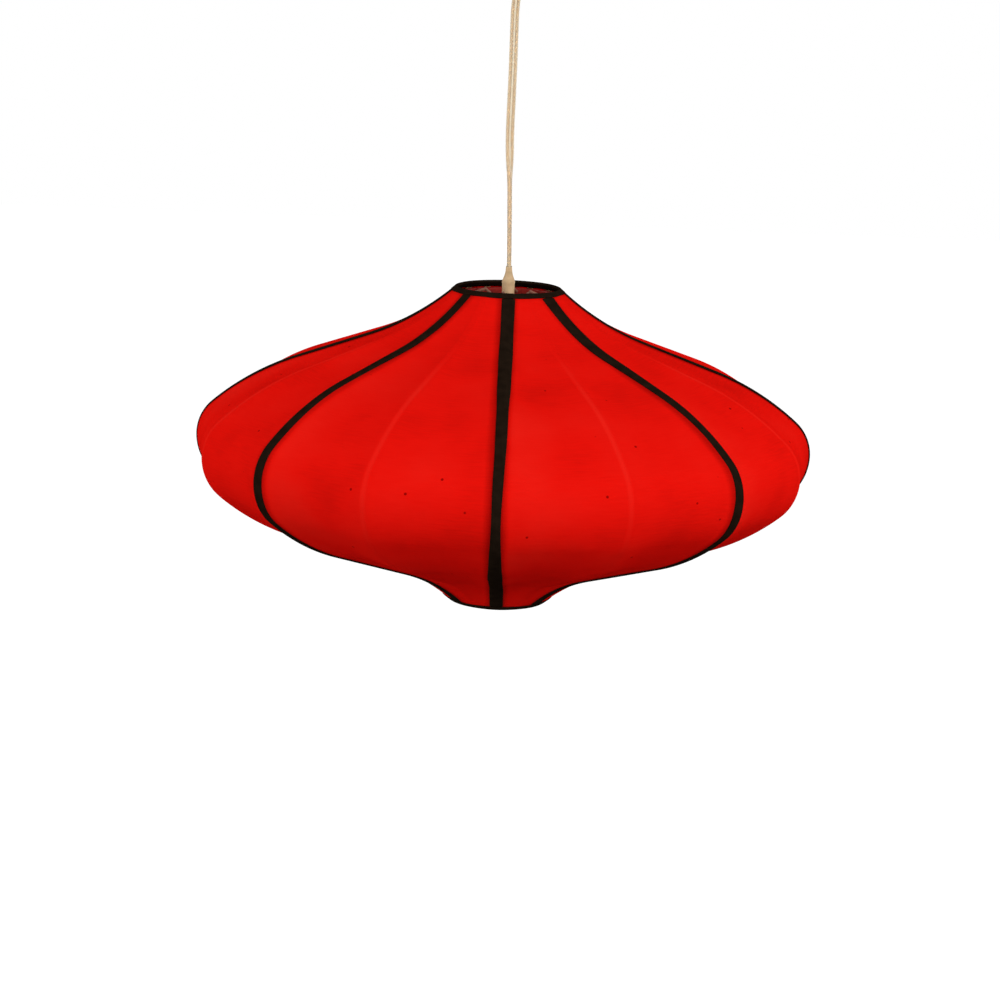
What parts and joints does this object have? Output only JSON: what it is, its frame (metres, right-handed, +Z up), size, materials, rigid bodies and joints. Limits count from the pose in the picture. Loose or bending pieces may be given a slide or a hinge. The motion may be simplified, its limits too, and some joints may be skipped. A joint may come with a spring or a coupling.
{
  "type": "pendant lantern",
  "caption": "Pendant lantern: saucer-shaped red fabric shade on bowed ribs between slotted hoops, black ribbon trims, lampholder and bulb inside, hung from a ceiling cup by a flat clear cord.",
  "frame": {"origin": "on the ceiling, at the middle of the strap's two screw holes", "axes": "+Z up into the ceiling and along the cord, -Y towards the viewer of the picture, +X to the viewer's right"},
  "size_m": [0.4, 0.4, 0.4327],
  "materials": {
    "fabric": "satin weave, translucent",
    "ribbon": "black satin ribbon",
    "bamboo": "split bamboo",
    "hoop_wood": "red-stained wood",
    "steel": "plain zinc",
    "pale_wire": "dull tan paint",
    "cord": "clear plastic over copper strands",
    "grip": "tan plastic",
    "holder": "white plastic",
    "white_plastic": "white plastic",
    "ceramic": "glazed white",
    "brass": "plain",
    "glass": "frosted",
    "lamp_cap": "plain",
    "insulator": "black glass"
  },
  "bodies": {
    "ceiling_fitting": {"ceiling_strap": "steel", "ceiling_cup": "white_plastic", "cup_screws": "steel", "cord_bush": "white_plastic"},
    "pendant": {"stop_ball": "white_plastic", "stop_screw": "steel", "terminal_block": "white_plastic", "pendant_cord": "cord", "grip_cone": "grip", "stem": "grip", "holder_cap": "holder", "holder_skirt": "holder", "contact_block": "ceramic", "centre_contact": "brass", "screw_shell": "brass"},
    "shade": {"spider": "pale_wire", "top_hoop": "hoop_wood", "bottom_hoop": "hoop_wood", "top_wire": "steel", "bottom_wire": "steel", "rib_01": "bamboo", "rib_02": "bamboo", "rib_03": "bamboo", "rib_04": "bamboo", "rib_05": "bamboo", "rib_06": "bamboo", "rib_07": "bamboo", "rib_08": "bamboo", "rib_09": "bamboo", "rib_10": "bamboo", "rib_11": "bamboo", "rib_12": "bamboo", "rib_13": "bamboo", "rib_14": "bamboo", "rib_15": "bamboo", "rib_16": "bamboo", "panel_1": "fabric", "panel_2": "fabric", "panel_3": "fabric", "panel_4": "fabric", "panel_5": "fabric", "panel_6": "fabric", "panel_7": "fabric", "panel_8": "fabric", "ribbon_1": "ribbon", "ribbon_2": "ribbon", "ribbon_3": "ribbon", "ribbon_4": "ribbon", "ribbon_5": "ribbon", "ribbon_6": "ribbon", "ribbon_7": "ribbon", "ribbon_8": "ribbon", "top_ribbon": "ribbon", "bottom_ribbon": "ribbon"},
    "bulb": {"bulb_glass": "glass", "bulb_cap": "lamp_cap", "bulb_tip": "insulator"}
  },
  "joints": [
    {"name": "pendant_swing", "type": "hinge", "parent": "ceiling_fitting", "child": "pendant", "pos_m": [0, 0, -0.0264], "axis": [0, 1, 0], "range_deg": [-15, 15]},
    {"name": "shade_turn", "type": "hinge", "parent": "pendant", "child": "shade", "pos_m": [0, 0, -0.235], "axis": [0, 0, 1], "continuous": true},
    {"name": "bulb_screw", "type": "hinge", "parent": "pendant", "child": "bulb", "pos_m": [0, 0, -0.285], "axis": [0, 0, -1], "range_deg": [0, 900]}
  ]
}
